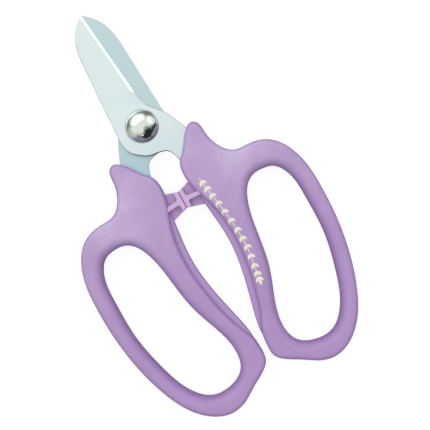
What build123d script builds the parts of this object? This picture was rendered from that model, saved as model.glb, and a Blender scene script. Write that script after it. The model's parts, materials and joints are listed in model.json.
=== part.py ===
"""Floral snips: two stainless blades, each moulded into a looped handle, turning on a domed pivot bolt.

Both halves have the same shape. The upper half carries the right handle, and the lower half is the same
half turned over about the long axis, so that its blade lies face to face under the upper one.

Every piece is drawn in the pivot's frame: the pivot axis is Z, +Y runs to the blade tips and Z is 0 on the
plane where the two blades meet. write() then moves it to the part's own frame, whose origin is the centre
of the object's footprint on the surface that it lies on, with +Z up. Lengths are in millimetres.
"""

from build123d import *
import os

os.makedirs("parts", exist_ok=True)

# Driving dimensions
tip_reach = 53.1  # pivot to blade tips
handle_reach = 122.3  # pivot to the end of the handles
handle_thick = 12.0  # the snips lie on the handles
blade_thick = 2.5
blade_gap = 0.1  # between the blades' flat faces

# The part's frame
pivot_y = (handle_reach - tip_reach) / 2
mid_z = handle_thick / 2

# Blades
blade_low = blade_gap / 2
blade_top = blade_low + blade_thick
edge_tip = (0.2, 52.6)
edge_heel = (4.0, 15.2)  # the ground edge stops here, short of the pivot
edge_way = (edge_heel[0] - edge_tip[0], edge_heel[1] - edge_tip[1])
spine_heel = (-11.0, 0.6)
spine_top = (-9.2, 34.0)
spine_way = (spine_top[0] - spine_heel[0], spine_top[1] - spine_heel[1])
blade_chamfer = 0.25
bevel_width = 1.05
bevel_start = 0.8  # blade thickness where the cutting bevel starts
edge_thick = 0.15
spine_margin = 0.7  # flat strip left along the spine
grind_fade = 8.2  # length over which the main grind runs out
lock_hole_radius = 1.4
lock_holes = [(12.5, -33.0), (12.7, -43.0), (12.9, -53.0)]

# Pivot
dome_radius = 6.95
dome_height = 4.7
dome_rim = 0.6
ball_radius = (dome_radius**2 + (dome_height - dome_rim) ** 2) / (2 * (dome_height - dome_rim))
shank_radius = 3.0
shank_flats = 5.0  # across the flats that key the bolt to the upper blade
running_clearance = 0.05
sliding_gap = 0.03
shoulder_short = 0.1  # the shoulder ends this far inside the lower blade's outer face
thread_radius = 2.5
thrust_radius = 6.2
thrust_bore = 3.2
recess_depth = 0.3
recess_clearance = 0.15
spring_radius = 5.6
spring_thick = 0.4
spring_rise = 0.22
nut_flats = 8.0
nut_thick = 2.5
end_chamfer = 0.4

# Handles
skin = 2.4  # soft grip around the edges of the hard core
core_thick = 8.0
strip_thick = 6.0  # core strip that stands out along the inner edge
strip_round = 1.3
grip_round = 2.2
loop_round = 4.2

# Closing stops
stop_gap = 0.05  # from each stop's face to the plane between the halves
stop_thick = 9.6
stop_web = 3.0
stop_wall = 2.1
stop_low = -38.6
stop_high = -31.2
rib_y = -35.3
rib_thick = 2.0
rib_fall = 0.5  # the rib runs down a little towards the handle
pocket_round = 0.9
stop_edge = 0.35


def edge_x(y):
    """The cutting edge, a straight line run on past the tip."""
    return edge_tip[0] + (y - edge_tip[1]) * edge_way[0] / edge_way[1]


def spine_x(y):
    """The straight of the spine, run on past the tip."""
    return spine_heel[0] + (y - spine_heel[1]) * spine_way[0] / spine_way[1]


def parallel(outline, distance, stations=56):
    """Smooth closed curve that runs at a distance outside a closed outline, or inside it if negative."""
    points = []
    for i in range(stations):
        heading = outline % (i / stations)
        points.append(outline @ (i / stations) + distance * Vector(heading.Y, -heading.X))
    return Spline(*points, periodic=True)


def write(piece, name, turned=False):
    """Moves a finished piece to the part's frame, turned over for the lower half, and writes its STEP."""
    with BuildPart(Plane((0, pivot_y, mid_z))) as placed:
        add(piece, rotation=(0, 180 if turned else 0, 0))
    placed.part.label = name
    export_step(placed.part, f"parts/{name}.step")


def make_blade(keyed):
    """One blade with its tang. The upper one is keyed to the bolt, and the lower one has a round hole."""
    with BuildPart() as blade:
        with BuildSketch(Plane.XY.offset(blade_low)):
            with BuildLine():
                Line(edge_tip, edge_heel)
                Spline(
                    edge_heel, (5.1, 8.5), (10.9, 1.0), (16.0, -9.4), (17.6, -17),
                    tangents=(edge_way, (0, -1)),
                )
                Spline((17.6, -17), (16.8, -26), (15.4, -34), tangents=((0, -1), (-0.03, -1)))
                Line((15.4, -34), (14.8, -55))
                ThreePointArc((14.8, -55), (12.9, -57), (11.0, -55))
                Line((11.0, -55), (9.6, -34))
                Spline(
                    (9.6, -34), (8.6, -27), (6.9, -19.5), (4.8, -14.5),
                    tangents=((-0.067, 1), (-0.7, 0.7)),
                )
                Spline(
                    (4.8, -14.5), (0.8, -12.9), (-3.2, -12.2), (-7.4, -9.6), spine_heel,
                    tangents=((-0.7, 0.7), spine_way),
                )
                Line(spine_heel, spine_top)
                Spline(
                    spine_top, (-8.2, 41.1), (-6.0, 46.8), (-0.3, tip_reach),
                    tangents=(spine_way, (0.75, 0.7)),
                )
                Line((-0.3, tip_reach), edge_tip)
            make_face()
        extrude(amount=blade_thick)
        chamfer(blade.faces().sort_by(Axis.Z)[-1].edges(), blade_chamfer)

        # Main grind, sloping from the spine to the cutting bevel and fading out above the pivot.
        drop = blade_thick - bevel_start
        for y, depth in ((tip_reach + 2, drop), (edge_heel[1], drop), (edge_heel[1] - grind_fade, 0.01)):
            left = spine_x(y) + spine_margin
            right = edge_x(y) + 2
            slope = depth / (edge_x(y) - bevel_width - left)
            with BuildSketch(Plane.XZ.offset(-y)):
                with BuildLine():
                    Polyline(
                        (left, blade_top),
                        (right, blade_top - slope * (right - left)),
                        (right, blade_top + 1),
                        (left, blade_top + 1),
                        close=True,
                    )
                make_face()
        loft(ruled=True, mode=Mode.SUBTRACT)

        # Cutting bevel, steep and narrow, ending in a short ramp.
        slope = (bevel_start - edge_thick) / bevel_width
        bevel_end = edge_heel[1]
        for y, reach in ((tip_reach + 2, bevel_width), (bevel_end + 0.2, bevel_width), (bevel_end - 1, 0.1)):
            x = edge_x(y)
            with BuildSketch(Plane.XZ.offset(-y)):
                with BuildLine():
                    Polyline(
                        (x - reach, blade_low + edge_thick + slope * reach),
                        (x + 0.6, blade_low + edge_thick - slope * 0.6),
                        (x + 0.6, blade_top + 1),
                        (x - reach, blade_top + 1),
                        close=True,
                    )
                make_face()
        loft(ruled=True, mode=Mode.SUBTRACT)

        # Pivot hole, recess for the thrust washer, and the holes that lock the tang in the handle.
        with BuildSketch(Plane.XY.offset(blade_low)):
            if keyed:
                Circle(shank_radius)
                Rectangle(shank_flats, 2 * shank_radius, mode=Mode.INTERSECT)
            else:
                Circle(shank_radius + running_clearance)
        extrude(amount=blade_thick, mode=Mode.SUBTRACT)
        with BuildSketch(Plane.XY.offset(blade_low)):
            Circle(thrust_radius + recess_clearance)
        extrude(amount=recess_depth, mode=Mode.SUBTRACT)
        with Locations(*[(x, y, blade_top) for x, y in lock_holes]):
            Hole(lock_hole_radius)
    return blade.part


upper_blade = make_blade(True)
lower_blade = make_blade(False)

# Outlines of the grip and of the finger loop seen from above.
with BuildSketch() as grip_outline:
    with BuildLine():
        Spline(
            (8.0, -19.0), (12.0, -14.1), (15.8, -9.6), (18.0, -8.45), (20.2, -9.2), (21.3, -11.2),
            (21.7, -14.9), (24.1, -22.6), (28.8, -27.1), (34.7, -27.8), (40.6, -28.9), (45.8, -32.3),
            (50.0, -38.8), (52.4, -47.5), (53.0, -58), (52.6, -70), (50.6, -84.5), (45.7, -101.4),
            (38.4, -114.4), (31.3, -120.3), (24.2, -handle_reach), (17.9, -120.9), (11.4, -116.95),
            (4.9, -113.0), (1.95, -109.8), (1.45, -105), (2.2, -98.9), (4.8, -92.5), (9.5, -76),
            (11.5, -58), (9.7, -43.5), (6.3, -32.8), (5.4, -25.6),
            periodic=True,
        )
    make_face()

with BuildSketch() as loop_outline:
    with BuildLine():
        Spline(
            (34.9, -39.5), (27.4, -41.9), (23.4, -49.0), (20.9, -60.9), (18.1, -76.9), (12.7, -92.2),
            (11.2, -100.9), (13.5, -109.0), (20.7, -112.9), (29.0, -112.4), (35.6, -106.4), (41.8, -91.4),
            (45.2, -75.2), (45.6, -58.5), (44.1, -46.4), (40.4, -41.0), periodic=True,
        )
    make_face()

# Surround of the finger loop with rounded edges, wide enough to hold the whole grip.
with BuildPart() as surround:
    with BuildSketch(Plane.XY.offset(-handle_thick / 2)):
        Circle(3 * handle_reach)
        add(loop_outline.sketch, mode=Mode.SUBTRACT)
    extrude(amount=handle_thick)
    fillet(surround.edges().filter_by(GeomType.BSPLINE), loop_round)

# Grip with its rounded edges, before the cavity for the core and the tang is cut.
with BuildPart() as grip_body:
    with BuildSketch(Plane.XY.offset(-handle_thick / 2)):
        add(grip_outline.sketch)
    extrude(amount=handle_thick)
    fillet(grip_body.edges().filter_by(Plane.XY), grip_round)
    add(surround.part, mode=Mode.INTERSECT)

# Hard strip that stands out from the grip along the handle's inner edge.
with BuildPart() as strip:
    with BuildSketch(Plane.XY.offset(-strip_thick / 2)):
        with BuildLine():
            visible = Spline(
                (7.7, -29.5), (7.3, -40.5), (8.8, -58), (7.0, -74.6), (2.9, -92.1), (2.5, -105),
                tangents=((-0.4, -1), (0.2, -1)),
            )
            Polyline(visible @ 1, (6.5, -104), (9, -92), (14, -76), (14, -58), (11, -32), visible @ 0)
        make_face()
    extrude(amount=strip_thick)
    fillet(strip.edges().filter_by(GeomType.BSPLINE), strip_round)

# Closing stop: a thick wall on the plane between the halves, braced to the handle by a web and a rib.
web_top = (12, -27.2)
web_low = (12, -42.4)
wall_top = stop_high + (web_top[1] - stop_high) * stop_wall / web_top[0]
wall_low = stop_low + (web_low[1] - stop_low) * stop_wall / web_low[0]
with BuildPart() as stop:
    with BuildSketch(Plane.XY.offset(-stop_thick / 2)) as wall_and_rib:
        Polygon(
            (stop_gap, stop_high), (stop_wall, wall_top), (stop_wall, rib_y + rib_thick / 2),
            (9, rib_y + rib_thick / 2 - rib_fall), (9, rib_y - rib_thick / 2 - rib_fall),
            (stop_wall, rib_y - rib_thick / 2), (stop_wall, wall_low), (stop_gap, stop_low), align=None,
        )
        fillet(wall_and_rib.vertices().group_by(Axis.X)[1].sort_by(Axis.Y)[1:3], pocket_round)
    extrude(amount=stop_thick)
    fillet(stop.edges().filter_by(Plane.XY), stop_edge)
    with BuildSketch(Plane.XY.offset(-stop_web / 2)):
        Polygon((stop_gap, stop_high), web_top, web_low, (stop_gap, stop_low), align=None)
    extrude(amount=stop_web)

# Hard core of the handle with its half of the closing stop.
with BuildPart() as core_body:
    with BuildSketch(Plane.XY.offset(-core_thick / 2)):
        with BuildLine():
            parallel(grip_outline.edge(), -skin)
        make_face()
        with BuildLine():
            parallel(loop_outline.edge(), skin)
        make_face(mode=Mode.SUBTRACT)
    extrude(amount=core_thick)
    add(strip.part)
    add(stop.part)

# Domed bolt, keyed to the upper blade. Its shoulder sets the clearance of the joint and the nut locks on it.
shoulder_end = shoulder_short - blade_top
spring_top = -blade_top - sliding_gap
nut_top = spring_top - spring_thick - spring_rise
with BuildPart() as pivot_bolt:
    with BuildSketch(Plane.XZ):
        with BuildLine():
            rim = Polyline((0, blade_top), (dome_radius, blade_top), (dome_radius, blade_top + dome_rim))
            RadiusArc(rim @ 1, (0, blade_top + dome_height), -ball_radius)
            Line((0, blade_top + dome_height), rim @ 0)
        make_face()
    revolve(axis=Axis.Z)
    with BuildSketch():
        Circle(shank_radius)
        Rectangle(shank_flats, 2 * shank_radius, mode=Mode.INTERSECT)
    extrude(amount=blade_top)
    with BuildSketch():
        Circle(shank_radius)
    extrude(amount=shoulder_end)
    with BuildSketch():
        Circle(thread_radius)
    extrude(amount=nut_top - nut_thick)
    chamfer(pivot_bolt.edges().sort_by(Axis.Z)[0], end_chamfer)
write(pivot_bolt.part, "pivot_bolt")

# Thrust washer between the blades, seated in the lower blade and sliding in the upper one.
with BuildPart() as thrust_washer:
    with BuildSketch(Plane.XY.offset(-blade_low - recess_depth)):
        Circle(thrust_radius)
        Circle(thrust_bore, mode=Mode.SUBTRACT)
    extrude(amount=2 * (blade_low + recess_depth) - sliding_gap)
write(thrust_washer.part, "thrust_washer")

# Cone-shaped spring washer under the lower blade, riding on its rim and pressed by the nut.
with BuildPart() as spring_washer:
    with BuildSketch(Plane.XZ):
        with BuildLine():
            Polyline(
                (spring_radius, spring_top),
                (thread_radius, spring_top - spring_rise),
                (thread_radius, nut_top),
                (spring_radius, nut_top + spring_rise),
                close=True,
            )
        make_face()
    revolve(axis=Axis.Z)
write(spring_washer.part, "spring_washer")

# Thin hexagon lock nut, its corners turned off on the outer side.
with BuildPart() as lock_nut:
    with BuildSketch(Plane.XY.offset(nut_top)):
        RegularPolygon(nut_flats / 2, 6, major_radius=False)
        Circle(thread_radius, mode=Mode.SUBTRACT)
    extrude(amount=-nut_thick)
    corner_reach = nut_flats / 3**0.5
    with BuildSketch(Plane.XZ, mode=Mode.PRIVATE) as turning:
        with BuildLine():
            Polyline(
                (0, nut_top), (corner_reach, nut_top), (corner_reach, nut_top - nut_thick + end_chamfer),
                (corner_reach - 2 * end_chamfer, nut_top - nut_thick), (0, nut_top - nut_thick), close=True,
            )
        make_face()
    revolve(turning.sketch, axis=Axis.Z, mode=Mode.INTERSECT)
write(lock_nut.part, "lock_nut")

for side, blade, turned in (("upper", upper_blade, False), ("lower", lower_blade, True)):
    with BuildPart() as core:
        add(core_body.part)
        add(blade, mode=Mode.SUBTRACT)
    with BuildPart() as grip:
        add(grip_body.part)
        add(core_body.part, mode=Mode.SUBTRACT)
        add(blade, mode=Mode.SUBTRACT)
    write(blade, f"{side}_blade", turned)
    write(core.part, f"{side}_core", turned)
    write(grip.part, f"{side}_grip", turned)
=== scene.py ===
"""Floral snips: materials, the printed sprig, the floor, the light and the camera, around the CAD frame.

Lengths are in metres, and MM turns millimetres into them. Heights and places on the snips are worked out from
the pivot and from the nodes' boxes.
"""

import json
import math

import bmesh
import bpy
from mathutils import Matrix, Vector
from mathutils.bvhtree import BVHTree


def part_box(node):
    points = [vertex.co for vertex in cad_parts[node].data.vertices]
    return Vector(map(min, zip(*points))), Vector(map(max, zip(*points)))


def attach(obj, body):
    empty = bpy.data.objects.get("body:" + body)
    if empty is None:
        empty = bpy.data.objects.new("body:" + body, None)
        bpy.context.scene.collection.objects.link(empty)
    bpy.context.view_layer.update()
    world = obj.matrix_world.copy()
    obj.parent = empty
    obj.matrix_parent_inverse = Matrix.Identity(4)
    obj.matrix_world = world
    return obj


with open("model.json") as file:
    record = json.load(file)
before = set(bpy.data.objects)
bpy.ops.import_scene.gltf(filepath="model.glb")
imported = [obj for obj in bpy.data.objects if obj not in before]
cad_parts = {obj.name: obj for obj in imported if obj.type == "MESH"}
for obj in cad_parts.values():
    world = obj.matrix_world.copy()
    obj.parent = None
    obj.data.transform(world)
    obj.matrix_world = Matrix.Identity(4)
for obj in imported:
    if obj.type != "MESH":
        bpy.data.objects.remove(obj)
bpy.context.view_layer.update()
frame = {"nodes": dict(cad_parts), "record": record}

MM = 0.001
scene = bpy.context.scene
pivot = Vector(frame["record"]["behaviour"]["joints"][0]["pos_m"])


def srgb(r, g, b):
    """Linear colour from 0-255 sRGB."""
    shares = (c / 255 for c in (r, g, b))
    return tuple(v / 12.92 if v < 0.0405 else ((v + 0.055) / 1.055) ** 2.4 for v in shares) + (1.0,)


class Nodes:
    """Short ways to add nodes to a node tree. A source is another node's output, or a plain value."""

    def __init__(self, tree):
        self.tree = tree

    def join(self, source, socket):
        if isinstance(source, bpy.types.NodeSocket):
            self.tree.links.new(source, socket)
        else:
            socket.default_value = source

    def add(self, kind, sources=None, **values):
        node = self.tree.nodes.new(kind)
        for key, value in values.items():
            setattr(node, key, value)
        for key, source in (sources or {}).items():
            self.join(source, node.inputs[key])
        return node

    def math(self, operation, a, b=0.0):
        return self.add("ShaderNodeMath", {0: a, 1: b}, operation=operation).outputs[0]

    def spread(self, factor, low, high, start=0.3, end=0.7, shape="LINEAR"):
        """Maps a factor from start..end to low..high."""
        sources = {"Value": factor, "From Min": start, "From Max": end, "To Min": low, "To Max": high}
        return self.add("ShaderNodeMapRange", sources, interpolation_type=shape).outputs["Result"]


class Shader(Nodes):
    """A node material with a Principled BSDF, whose patterns stay with the object as it moves."""

    def __init__(self, name, **sockets):
        self.material = bpy.data.materials.new(name)
        self.material.use_nodes = True
        super().__init__(self.material.node_tree)
        self.bsdf = self.tree.nodes["Principled BSDF"]
        for socket, value in sockets.items():
            self.bsdf.inputs[socket.replace("_", " ")].default_value = value
        coords = self.add("ShaderNodeTexCoord")
        self.coords = coords.outputs["Object"]
        self.x, self.y, self.z = self.add("ShaderNodeSeparateXYZ", {"Vector": self.coords}).outputs
        self.facing = self.add("ShaderNodeSeparateXYZ", {"Vector": coords.outputs["Normal"]}).outputs

    def noise(self, scale, detail=2.0, rough=0.5, vector=None):
        sources = {"Vector": vector or self.coords, "Scale": scale, "Detail": detail, "Roughness": rough}
        return self.add("ShaderNodeTexNoise", sources).outputs["Fac"]

    def mix(self, factor, a, b):
        return self.add("ShaderNodeMix", {0: factor, 6: a, 7: b}, data_type="RGBA").outputs[2]

    def bump(self, height, strength, distance, normal=None):
        sources = {"Height": height, "Strength": strength, "Distance": distance}
        if normal:
            sources["Normal"] = normal
        return self.add("ShaderNodeBump", sources).outputs["Normal"]

    def feed(self, **sources):
        """Joins sources to the BSDF's sockets and gives back the finished material."""
        for socket, source in sources.items():
            self.join(source, self.bsdf.inputs[socket.replace("_", " ")])
        return self.material


def wear(material, *nodes):
    """Gives CAD nodes this one material."""
    for node in nodes:
        mesh = frame["nodes"][node].data
        mesh.materials.clear()
        mesh.materials.append(material)


# Plastics
SKIN_DEPTH = 2 * MM  # how far light wanders under the surface
MOTTLE_SCALE = 70
PAINTED_SHEEN_SCALE = 75
SOFT_GRAIN_SCALE = 900
FINE_GRAIN_SCALE = 5200
MOULD_DEPTH = 0.06 * MM  # height of the moulded grain and of the parting line
PARTING_LINE = (0.04 * MM, 0.14 * MM)  # its half width, and where it has died out
PAINTED_SHEEN_ALONG = (pivot.y - 76 * MM, pivot.y - 26 * MM)  # painted sheen, from the end of the handles towards the pivot
PALM = Vector((27 * MM, pivot.y - 26 * MM))  # centre of the painted highlight, where the hand bears, the same on both sides
PALM_HIGHLIGHT_REACH = (6 * MM, 18 * MM)
SHADED_SLOPE_UP = (0.45, 0.95)  # how far a face looks up: a sloping side of the moulding, with the full painted shade, and its flat top
GAP_SHADOW_WIDTH = (0.22 * MM, 0.42 * MM)  # painted shadow on the rims of the closing stops, from the plane where they meet
GAP_SHADOW_HEIGHT = (4.1 * MM, 4.5 * MM)


def with_painted_sheen(s, tone, painted_sheen):
    """A tone with clouds of paler painted sheen, fading along the handle, and a painted highlight by the
    palm.
    """
    cloud = s.spread(s.noise(PAINTED_SHEEN_SCALE, detail=4.0), 0.5, 1.0, 0.38, 0.62)
    near = s.spread(s.y, 0, 0.55, *PAINTED_SHEEN_ALONG)
    aside = s.math("SUBTRACT", s.math("ABSOLUTE", s.x), PALM.x)
    ahead = s.math("SUBTRACT", s.y, PALM.y)
    square = s.math("ADD", s.math("MULTIPLY", aside, aside), s.math("MULTIPLY", ahead, ahead))
    palm = s.spread(s.math("SQRT", square), 0.45, 0, *PALM_HIGHLIGHT_REACH)
    return s.mix(s.math("MULTIPLY", cloud, s.math("ADD", near, palm)), tone, painted_sheen)


def plastic(
    name, colour, deep, rough, grain, seam, gloss=0.5, painted_sheen=None, slope_shade=None, bands=(), gap_shadow=None
):
    """Moulded plastic: faint mottle, fine moulded grain and the mould's parting line.

    A painted sheen colour clouds the flat faces near the pivot, with a painted highlight by the palm. The
    slope shade colour is painted shade on faces that slope away. Each band recolours everything beyond a
    height, measured from the parting line: where it starts, where it is full, and its colour. A gap shadow
    colour is painted shadow along the rims where the two closing stops meet.
    """
    s = Shader(name, IOR=1.46, Specular_IOR_Level=gloss, Subsurface_Weight=0.3)
    s.bsdf.inputs["Subsurface Scale"].default_value = SKIN_DEPTH
    s.bsdf.inputs["Subsurface Radius"].default_value = (1.0, 0.5, 1.2)
    height = s.math("ABSOLUTE", s.math("SUBTRACT", s.z, pivot.z))
    tone = s.mix(s.spread(s.noise(MOTTLE_SCALE, detail=3), 0, 1), colour, deep)
    # Painted sheen, paler towards the pivot, and a painted highlight by the palm
    if painted_sheen:
        tone = with_painted_sheen(s, tone, painted_sheen)
    # Painted shade: faces that slope away are a deeper violet
    if slope_shade:
        tone = s.mix(s.spread(s.math("ABSOLUTE", s.facing[2]), 0.6, 0, *SHADED_SLOPE_UP), tone, slope_shade)
    for start, full, band in bands:
        tone = s.mix(s.spread(height, 0, 1, start, full), tone, band)
    # Painted shadow, tinted pink as by reflections, in the gap where the closing stops meet
    if gap_shadow:
        inward = s.spread(s.math("ABSOLUTE", s.x), 1, 0, *GAP_SHADOW_WIDTH)
        tone = s.mix(s.math("MULTIPLY", inward, s.spread(height, 0, 1, *GAP_SHADOW_HEIGHT)), tone, gap_shadow)
    soft = s.noise(SOFT_GRAIN_SCALE)
    normal = s.bump(s.noise(FINE_GRAIN_SCALE, detail=1.0), grain, MOULD_DEPTH)
    normal = s.bump(soft, grain * 0.6, MOULD_DEPTH, normal)
    normal = s.bump(s.spread(height, 1, 0, *PARTING_LINE), seam, MOULD_DEPTH, normal)
    return s.feed(Base_Color=tone, Roughness=s.spread(soft, rough - 0.05, rough + 0.06), Normal=normal)


# Grip: its pale clouds are painted sheen and highlight, its deeper violet on slopes is painted shade
grip_lilac = plastic(
    "grip_lilac", srgb(171, 142, 188), srgb(166, 136, 184), rough=0.5, grain=0.35, seam=0.5, gloss=0.6,
    painted_sheen=srgb(196, 175, 208), slope_shade=srgb(160, 120, 188),
)
core_lilac = plastic(
    "core_lilac", srgb(191, 154, 203), srgb(185, 147, 198), rough=0.36, grain=0.12, seam=0.6, gloss=0.7,
    # The first band, on the stops' recessed pocket floors, is darker: painted shade in the recesses
    bands=((1.8 * MM, 2.2 * MM, srgb(173, 142, 193)), (4.2 * MM, 4.7 * MM, srgb(194, 171, 207))),
    gap_shadow=srgb(198, 116, 168),
)
washer_acetal = plastic(
    "washer_acetal", srgb(236, 234, 226), srgb(228, 226, 218), rough=0.4, grain=0.1, seam=0.0
)
wear(grip_lilac, "upper_grip", "lower_grip")
wear(core_lilac, "upper_core", "lower_core")
wear(washer_acetal, "thrust_washer")

# Metals
GROUND_LINES = (300, 5200, 300)  # noise scale on each axis: fine along the blade, drawn out across it
CLOUD_SCALE = 55
SMEAR_SCALE = 160
RIM_SHADE_SCALE = 700
TURNING_SCALE = 9000
WALL_UP = (0.1, 0.4)  # how far a face looks up: a stamped wall, and a chamfer
BEVEL_UP = ((0.78, 0.80), (0.90, 0.93))  # between chamfer and bevel, and between bevel and main grind
RUN_OUT_AHEAD = (0.02, 0.20)  # how far a face looks towards the tips, where the grind runs out
TANG_FADE = (pivot.y - 16 * MM, pivot.y + 4 * MM)
METAL_DEPTH = 0.01 * MM  # height of the ground lines and the turning marks
WALL_SHADE = srgb(112, 126, 126)
SATIN_WITH_SHADE = srgb(205, 219, 219)
RIM_SHADE = srgb(62, 66, 62)
FOOT_HEIGHT = 0.65 * MM  # top of the painted shadow around the bolt's rim, where it starts to thin out
RIM_SHADE_FADE = 0.5 * MM


def steel(name, colour, tang, warm, rough, keen=None):
    """Ground stainless steel with fine lines across the blade, a little bluer and duller on the tang.

    A warm colour clouds the blade here and there; the stamped walls are rougher and painted darker as shade.
    A keen colour marks the cutting bevel. Where the grind runs out above the pivot it is satin, with painted
    shade.
    """
    s = Shader(name, Metallic=1.0)
    stretched = s.add("ShaderNodeMapping", {"Vector": s.coords, "Scale": GROUND_LINES}).outputs["Vector"]
    lines = s.noise(1.0, detail=4.0, rough=0.7, vector=stretched)
    cloud = s.noise(CLOUD_SCALE, detail=3)
    along = s.spread(s.y, 0, 1, *TANG_FADE)
    tone = s.mix(along, tang, colour)
    tone = s.mix(s.spread(lines, 0, 0.5, 0.25, 0.75), tone, tang)
    tone = s.mix(s.math("MULTIPLY", along, s.spread(cloud, 0, 0.5, 0.42, 0.62)), tone, warm)
    level = s.math("ADD", s.spread(lines, rough - 0.05, rough + 0.07), s.spread(cloud, -0.03, 0.03))
    # Steep stamped walls: rougher, and painted darker as shade
    wall = s.spread(s.math("ABSOLUTE", s.facing[2]), 1, 0, *WALL_UP)
    tone = s.mix(wall, tone, WALL_SHADE)
    level = s.math("ADD", level, s.math("MULTIPLY", wall, 0.15))
    if keen:
        # Satin where the grind runs out, with painted shade damping the window's reflection on faces towards
        # the tips
        run_out = s.spread(s.facing[1], 0, 1, *RUN_OUT_AHEAD)
        tone = s.mix(run_out, tone, SATIN_WITH_SHADE)
        level = s.math("ADD", level, s.math("MULTIPLY", run_out, 0.15))
        past_chamfer, before_grind = BEVEL_UP
        flatter = s.spread(s.facing[2], 0, 1, *past_chamfer)
        steeper = s.spread(s.facing[2], 1, 0, *before_grind)
        bevel = s.math("MULTIPLY", flatter, steeper)
        tone = s.mix(bevel, tone, keen)
        level = s.math("SUBTRACT", level, s.math("MULTIPLY", bevel, 0.12))
    return s.feed(Base_Color=tone, Roughness=level, Normal=s.bump(lines, 0.25, METAL_DEPTH))


def turned(name, colour, rough, grain, foot=None):
    """Plated or plain turned steel with faint circular turning marks, and a painted shadow up to a foot
    height.
    """
    s = Shader(name, Metallic=1.0)
    smear = s.noise(SMEAR_SCALE, detail=3)
    tone = s.mix(s.spread(smear, 0, 1), srgb(*colour), srgb(*[c * 0.96 for c in colour]))
    level = s.spread(smear, rough * 0.8, rough * 1.3)
    # Painted shadow, patchy and rougher, around the dome's rim where it sits on the blade
    if foot:
        rim_shade = s.spread(s.z, 1, 0, foot, foot + RIM_SHADE_FADE)
        tone = s.mix(s.math("MULTIPLY", rim_shade, s.spread(s.noise(RIM_SHADE_SCALE), 0.6, 0.9)), tone, RIM_SHADE)
        level = s.math("ADD", level, s.math("MULTIPLY", rim_shade, 0.25))
    radius = s.add("ShaderNodeVectorMath", {0: s.coords, 1: pivot}, operation="SUBTRACT").outputs[0]
    flat = s.add("ShaderNodeVectorMath", {0: radius, 1: (1, 1, 0)}, operation="MULTIPLY").outputs[0]
    away = s.add("ShaderNodeVectorMath", {0: flat}, operation="LENGTH").outputs[1]
    rings = s.add("ShaderNodeTexNoise", {"W": away, "Scale": TURNING_SCALE}, noise_dimensions="1D")
    return s.feed(Base_Color=tone, Roughness=level, Normal=s.bump(rings.outputs["Fac"], grain, METAL_DEPTH))


upper_steel = steel(
    "upper_blade_steel", srgb(232, 242, 241), srgb(217, 234, 235), srgb(236, 238, 236), rough=0.34,
    keen=srgb(250, 252, 252),
)
# Same steel as the upper blade, painted darker and bluer: painted shade on the lower blade
lower_shaded_steel = steel(
    "lower_blade_shaded_steel", srgb(201, 222, 222), srgb(184, 211, 218), srgb(204, 217, 216), rough=0.32
)
dome_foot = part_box("upper_blade")[1].z + FOOT_HEIGHT
wear(upper_steel, "upper_blade")
wear(lower_shaded_steel, "lower_blade")
wear(turned("bolt_chrome", (232, 238, 230), rough=0.06, grain=0.05, foot=dome_foot), "pivot_bolt")
wear(turned("nut_zinc", (196, 200, 202), rough=0.28, grain=0.3), "lock_nut")
wear(turned("spring_steel", (150, 152, 154), rough=0.35, grain=0.3), "spring_washer")

# Printed sprig on the right grip: a stem in millimetres from the pivot, with pairs of leaves along it
SPRIG_STEM = ((10.3, -30.5), (11.2, -37), (12.6, -46), (13.7, -56), (13.9, -65), (12.7, -74), (11.9, -79))
STEM_STEPS = 60
STEM_HALF = 0.14 * MM
LEAF_PAIRS = 13
LEAF_LENGTH = 2.6 * MM
LEAF_WIDTH = 1.05 * MM
LEAF_TURN = 0.6  # radians between a leaf and the stem
LEAF_START = 0.25 * MM  # from the stem's middle
LEAF_STEPS = 7
BULGE_POWER = 0.8  # below 1, the leaf is widest in its lower half
MIDRIB_HALF = 0.05 * MM
INK_RISE = 0.05 * MM
INK_CLOUD_SCALE = 900
INK_GLOSS_SCALE = 1500
grip_surface = BVHTree.FromObject(frame["nodes"]["upper_grip"], bpy.context.evaluated_depsgraph_get())
above_grip = 2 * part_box("upper_grip")[1].z


def on_grip(x, y, rise):
    """Point at a height above the upper grip's top surface."""
    hit = grip_surface.ray_cast(Vector((x, y, above_grip)), Vector((0, 0, -1)))[0]
    return Vector((x, y, hit.z + rise))


def stem_point(t):
    """Catmull-Rom point of the stem for t from 0 to 1, and its heading."""
    points = [Vector((pivot.x + x * MM, pivot.y + y * MM)) for x, y in SPRIG_STEM]
    at = min(t, 0.9999) * (len(points) - 1)
    k = int(at)
    u = at - k
    a, b, c, d = (points[min(max(k + n, 0), len(points) - 1)] for n in (-1, 0, 1, 2))
    place = 0.5 * (2 * b + (c - a) * u + (2 * a - 5 * b + 4 * c - d) * u**2 + (3 * b - a - 3 * c + d) * u**3)
    return place, (c - b).normalized()


def film(bm, line):
    """The upper and the lower line of vertices of a film of ink, just above and just under the surface."""
    return [[bm.verts.new(on_grip(x, y, rise)) for x, y in line] for rise in (INK_RISE, -INK_RISE)]


def patch(bm, outline):
    """A closed film of ink with this outline."""
    top, low = film(bm, outline)
    bm.faces.new(top)
    bm.faces.new(low[::-1])
    for k in range(len(top)):
        n = (k + 1) % len(top)
        bm.faces.new((top[k], low[k], low[n], top[n]))


def ribbon(bm, left, right):
    """A closed film of ink between two lines of points."""
    top_left, low_left = film(bm, left)
    top_right, low_right = film(bm, right)
    around = ((top_left, top_right), (top_right, low_right), (low_right, low_left), (low_left, top_left))
    for k in range(len(left) - 1):
        for a, b in around:
            bm.faces.new((a[k], b[k], b[k + 1], a[k + 1]))
    for k in (0, -1):
        bm.faces.new((top_left[k], top_right[k], low_right[k], low_left[k]))


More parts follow.
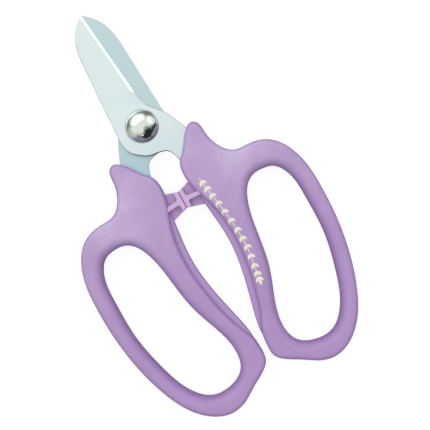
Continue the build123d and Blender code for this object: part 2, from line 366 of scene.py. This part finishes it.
def leaf(bm, root, way):
    """A leaf in two halves, with the bare midrib between them."""
    side = Vector((-way.y, way.x))
    for sign in (1, -1):
        start = root + side * sign * MIDRIB_HALF
        rib = [start + way * LEAF_LENGTH * k / LEAF_STEPS for k in range(LEAF_STEPS + 1)]
        bulges = [math.sin(math.pi * (k / LEAF_STEPS) ** BULGE_POWER) for k in range(1, LEAF_STEPS)]
        rim = [point + side * sign * bulge * LEAF_WIDTH / 2 for point, bulge in zip(rib[1:-1], bulges)]
        outline = rib + rim[::-1]
        patch(bm, outline if sign < 0 else outline[::-1])


bm = bmesh.new()
stem = [stem_point(k / STEM_STEPS) for k in range(STEM_STEPS + 1)]
beside = [Vector((-heading.y, heading.x)) * STEM_HALF for place, heading in stem]
ribbon(
    bm,
    [place + off for (place, heading), off in zip(stem, beside)],
    [place - off for (place, heading), off in zip(stem, beside)],
)
for k in range(LEAF_PAIRS):
    place, heading = stem_point((k + 0.6) / (LEAF_PAIRS + 0.4))
    for turn in (LEAF_TURN, -LEAF_TURN):
        way = Vector((
            heading.x * math.cos(turn) - heading.y * math.sin(turn),
            heading.x * math.sin(turn) + heading.y * math.cos(turn),
        ))
        leaf(bm, place + way * LEAF_START, way)
leaf(bm, *stem_point(1))
bmesh.ops.recalc_face_normals(bm, faces=bm.faces)
mesh = bpy.data.meshes.new("grip_sprig")
bm.to_mesh(mesh)
sprig = bpy.data.objects.new("grip_sprig", mesh)
scene.collection.objects.link(sprig)
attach(sprig, "upper_half")
s = Shader("sprig_ink", IOR=1.45)
ink = s.mix(s.spread(s.noise(INK_CLOUD_SCALE, detail=3), 0, 1), srgb(243, 240, 212), srgb(233, 229, 202))
mesh.materials.append(s.feed(Base_Color=ink, Roughness=s.spread(s.noise(INK_GLOSS_SCALE), 0.42, 0.56)))

# Floor, glowing a little so that it stays white under the soft light, and kept out of the chrome
FLOOR_SIZE = 3.0
FLOOR_GLOW = 0.9
PAPER_SCALE = 8
bm = bmesh.new()
bmesh.ops.create_grid(bm, x_segments=1, y_segments=1, size=FLOOR_SIZE)
mesh = bpy.data.meshes.new("floor")
bm.to_mesh(mesh)
floor = bpy.data.objects.new("floor", mesh)
scene.collection.objects.link(floor)
floor.visible_diffuse = False
floor.visible_glossy = False
s = Shader("floor_white", Roughness=0.9, Specular_IOR_Level=0.1)
s.bsdf.inputs["Emission Color"].default_value = (1, 1, 1, 1)
s.bsdf.inputs["Emission Strength"].default_value = FLOOR_GLOW
paper = s.mix(s.spread(s.noise(PAPER_SCALE), 0, 1), (0.15, 0.15, 0.15, 1), (0.145, 0.145, 0.145, 1))
mesh.materials.append(s.feed(Base_Color=paper))

# Light from all round: a base level, with brighter and darker parts for the chrome to mirror. Each part has
# its direction, the angles from it in degrees where it is still full and where it is gone, and its level.
BASE_LEVEL = 0.24
LEAST_LEVEL = 0.03
SURROUNDINGS = (
    ((0.0, 0.2, 0.98), 40, 80, 0.7),  # ceiling
    ((-0.34, 0.80, 0.50), 18, 38, 0.5),  # two windows beyond the tips
    ((0.12, 0.85, 0.50), 18, 38, 0.5),
    ((0.93, 0.12, 0.27), 14, 32, 0.72),  # white card on the right
    ((-0.97, -0.05, 0.22), 14, 36, 0.4),  # pale wall on the left
    ((0.3, -0.5, 0.81), 3, 27, -0.62),  # camera and its stand
    ((0.05, -0.85, 0.52), 10, 34, -0.5),
    ((0.60, -0.64, 0.48), 4, 26, -0.25),
    ((0.93, -0.37, 0.07), 6, 20, -0.25),
    ((-0.335, -0.766, 0.549), 2.5, 5, 1.6),  # lamp behind the camera
)
world = bpy.data.worlds.new("studio")
scene.world = world
world.use_nodes = True
sky = Nodes(world.node_tree)
outward = sky.add("ShaderNodeTexCoord").outputs["Generated"]
total = BASE_LEVEL
for direction, full, gone, level in SURROUNDINGS:
    toward = Vector(direction).normalized()
    near = sky.add("ShaderNodeVectorMath", {0: outward, 1: toward}, operation="DOT_PRODUCT").outputs["Value"]
    ends = (math.cos(math.radians(gone)), math.cos(math.radians(full)))
    total = sky.math("ADD", total, sky.spread(near, 0, level, *ends, shape="SMOOTHSTEP"))
background = world.node_tree.nodes["Background"]
background.inputs["Color"].default_value = (0.97, 0.99, 1.0, 1)
sky.join(sky.math("MAXIMUM", total, LEAST_LEVEL), background.inputs["Strength"])


def soft_light(name, place, size, power):
    """A square area light that faces the object and isn't mirrored in the metal."""
    lamp = bpy.data.lights.new(name, "AREA")
    lamp.shape = "RECTANGLE"
    lamp.size = size
    lamp.size_y = size
    lamp.energy = power
    light = bpy.data.objects.new(name, lamp)
    scene.collection.objects.link(light)
    light.location = place
    light.rotation_euler = (-Vector(place)).to_track_quat("-Z", "Y").to_euler()
    light.visible_glossy = False


soft_light("soft_box", (0, 0.03, 0.36), 0.40, 0.35)
soft_light("side_fill", (0.12, -0.37, 0.16), 0.30, 0.29)

# Camera, straight above, turned so that the snips lie across the frame
VIEW_TURN = math.radians(-29.0)
VIEW_WIDTH = 0.1797
DISTANCE = 0.42
SENSOR = 36.0
target = Vector((0.0087, -0.0124, pivot.z))
camera = bpy.data.objects.new("camera", bpy.data.cameras.new("camera"))
scene.collection.objects.link(camera)
camera.data.sensor_width = SENSOR
camera.data.lens = SENSOR * DISTANCE / VIEW_WIDTH
camera.data.clip_start = 0.01
camera.location = target + Vector((0, 0, DISTANCE))
camera.rotation_euler = (0, 0, VIEW_TURN)
scene.camera = camera
scene.view_settings.view_transform = "Standard"
